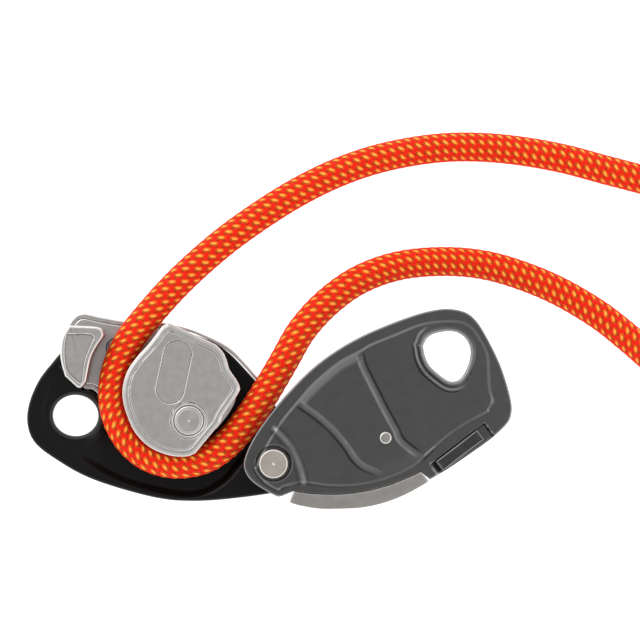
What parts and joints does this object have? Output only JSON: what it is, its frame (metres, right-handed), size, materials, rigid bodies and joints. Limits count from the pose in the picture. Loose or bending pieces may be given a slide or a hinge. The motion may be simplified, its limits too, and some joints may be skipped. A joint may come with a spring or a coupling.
{
  "type": "rope descender",
  "caption": "Assisted-braking rope descender with a pivoting cam, a swing-open side plate, a folding release lever on its back and a rope threaded round the cam.",
  "frame": {"origin": "on the cam axle's axis, in the rear plane that the device lies on", "axes": "+Z from the back towards the swinging side plate; +X from the attachment eye of the fixed plate towards the main pivot and the opened side plate; +Y towards the edge where the rope enters"},
  "size_m": [0.2422, 0.126, 0.036],
  "materials": {
    "black_alloy": "black anodised, satin",
    "grey_alloy": "dark grey anodised, satin with brighter edges",
    "stainless": "tumbled satin stainless steel",
    "rivet_steel": "turned satin steel",
    "spring_steel": "bright drawn wire",
    "bronze": "plain bearing bronze",
    "black_plastic": "finely textured moulding",
    "nylon": "plain",
    "rope_sheath": "braided orange sheath with yellow tracer yarns",
    "sleeve_plastic": "shrunk sleeve"
  },
  "bodies": {
    "frame": {"fixed_side_plate": "black_alloy", "friction_plate": "stainless", "friction_plate_rivet_1": "rivet_steel", "friction_plate_rivet_2": "rivet_steel", "cam_axle": "stainless", "cam_washer": "nylon", "cam_spring": "spring_steel", "main_pivot_axle": "rivet_steel", "pivot_spacer": "stainless", "pivot_washer": "nylon", "rear_cover": "black_plastic", "rear_cover_screw_1": "stainless", "rear_cover_screw_2": "stainless", "knob_detent_ball": "stainless", "knob_detent_spring": "spring_steel", "lever_return_spring": "spring_steel", "rope": "rope_sheath", "rope_end_sleeve_1": "sleeve_plastic", "rope_end_sleeve_2": "sleeve_plastic"},
    "side_plate": {"moving_side_plate": "grey_alloy", "side_plate_bush": "bronze", "wear_strip": "rivet_steel", "edge_guide": "grey_alloy", "inner_liner": "stainless", "inner_liner_rivet": "rivet_steel"},
    "brake_cam": {"cam": "stainless", "cam_bush": "bronze", "cam_drive_pin": "stainless"},
    "lever": {"lever_hub": "grey_alloy", "pawl_pin": "stainless", "grip_hinge_pin": "stainless"},
    "pawl": {"anti_panic_pawl": "stainless"},
    "folding_grip": {"grip": "black_plastic", "grip_bar": "stainless"},
    "selector": {"selector_knob": "grey_alloy", "knob_clip": "spring_steel", "lock_button_spring": "spring_steel"},
    "lock_button": {"knob_lock_button": "stainless"}
  },
  "joints": [
    {"name": "side_plate_swing", "type": "hinge", "parent": "frame", "child": "side_plate", "pos_m": [0.0282, -0.0142, 0.033], "axis": [0, 0, 1], "range_deg": [-25, 135.2]},
    {"name": "cam_pivot", "type": "hinge", "parent": "frame", "child": "brake_cam", "pos_m": [0, 0, 0.025], "axis": [0, 0, 1], "range_deg": [-6, 6], "stiffness_Nm_per_rad": 0.05},
    {"name": "lever_pull", "type": "hinge", "parent": "frame", "child": "lever", "pos_m": [0, 0, 0.011], "axis": [0, 0, 1], "range_deg": [-70, 0], "stiffness_Nm_per_rad": 0.02},
    {"name": "pawl_trip", "type": "hinge", "parent": "lever", "child": "pawl", "pos_m": [0.00566, 0.00896, 0.0123], "axis": [0, 0, 1], "range_deg": [-6, 6]},
    {"name": "grip_fold", "type": "hinge", "parent": "lever", "child": "folding_grip", "pos_m": [0.0164, -0.01391, 0.0034], "axis": [-0.6468, -0.7627, 0], "range_deg": [0, 172]},
    {"name": "selector_turn", "type": "hinge", "parent": "frame", "child": "selector", "pos_m": [0.0182, 0.0042, 0.0025], "axis": [0, 0, 1], "range_deg": [0, 90]},
    {"name": "lock_button_press", "type": "slide", "parent": "selector", "child": "lock_button", "axis": [0, 0, 1], "range_m": [0, 0.0015], "stiffness_N_per_m": 300, "deforming": ["lock_button_spring"]}
  ]
}
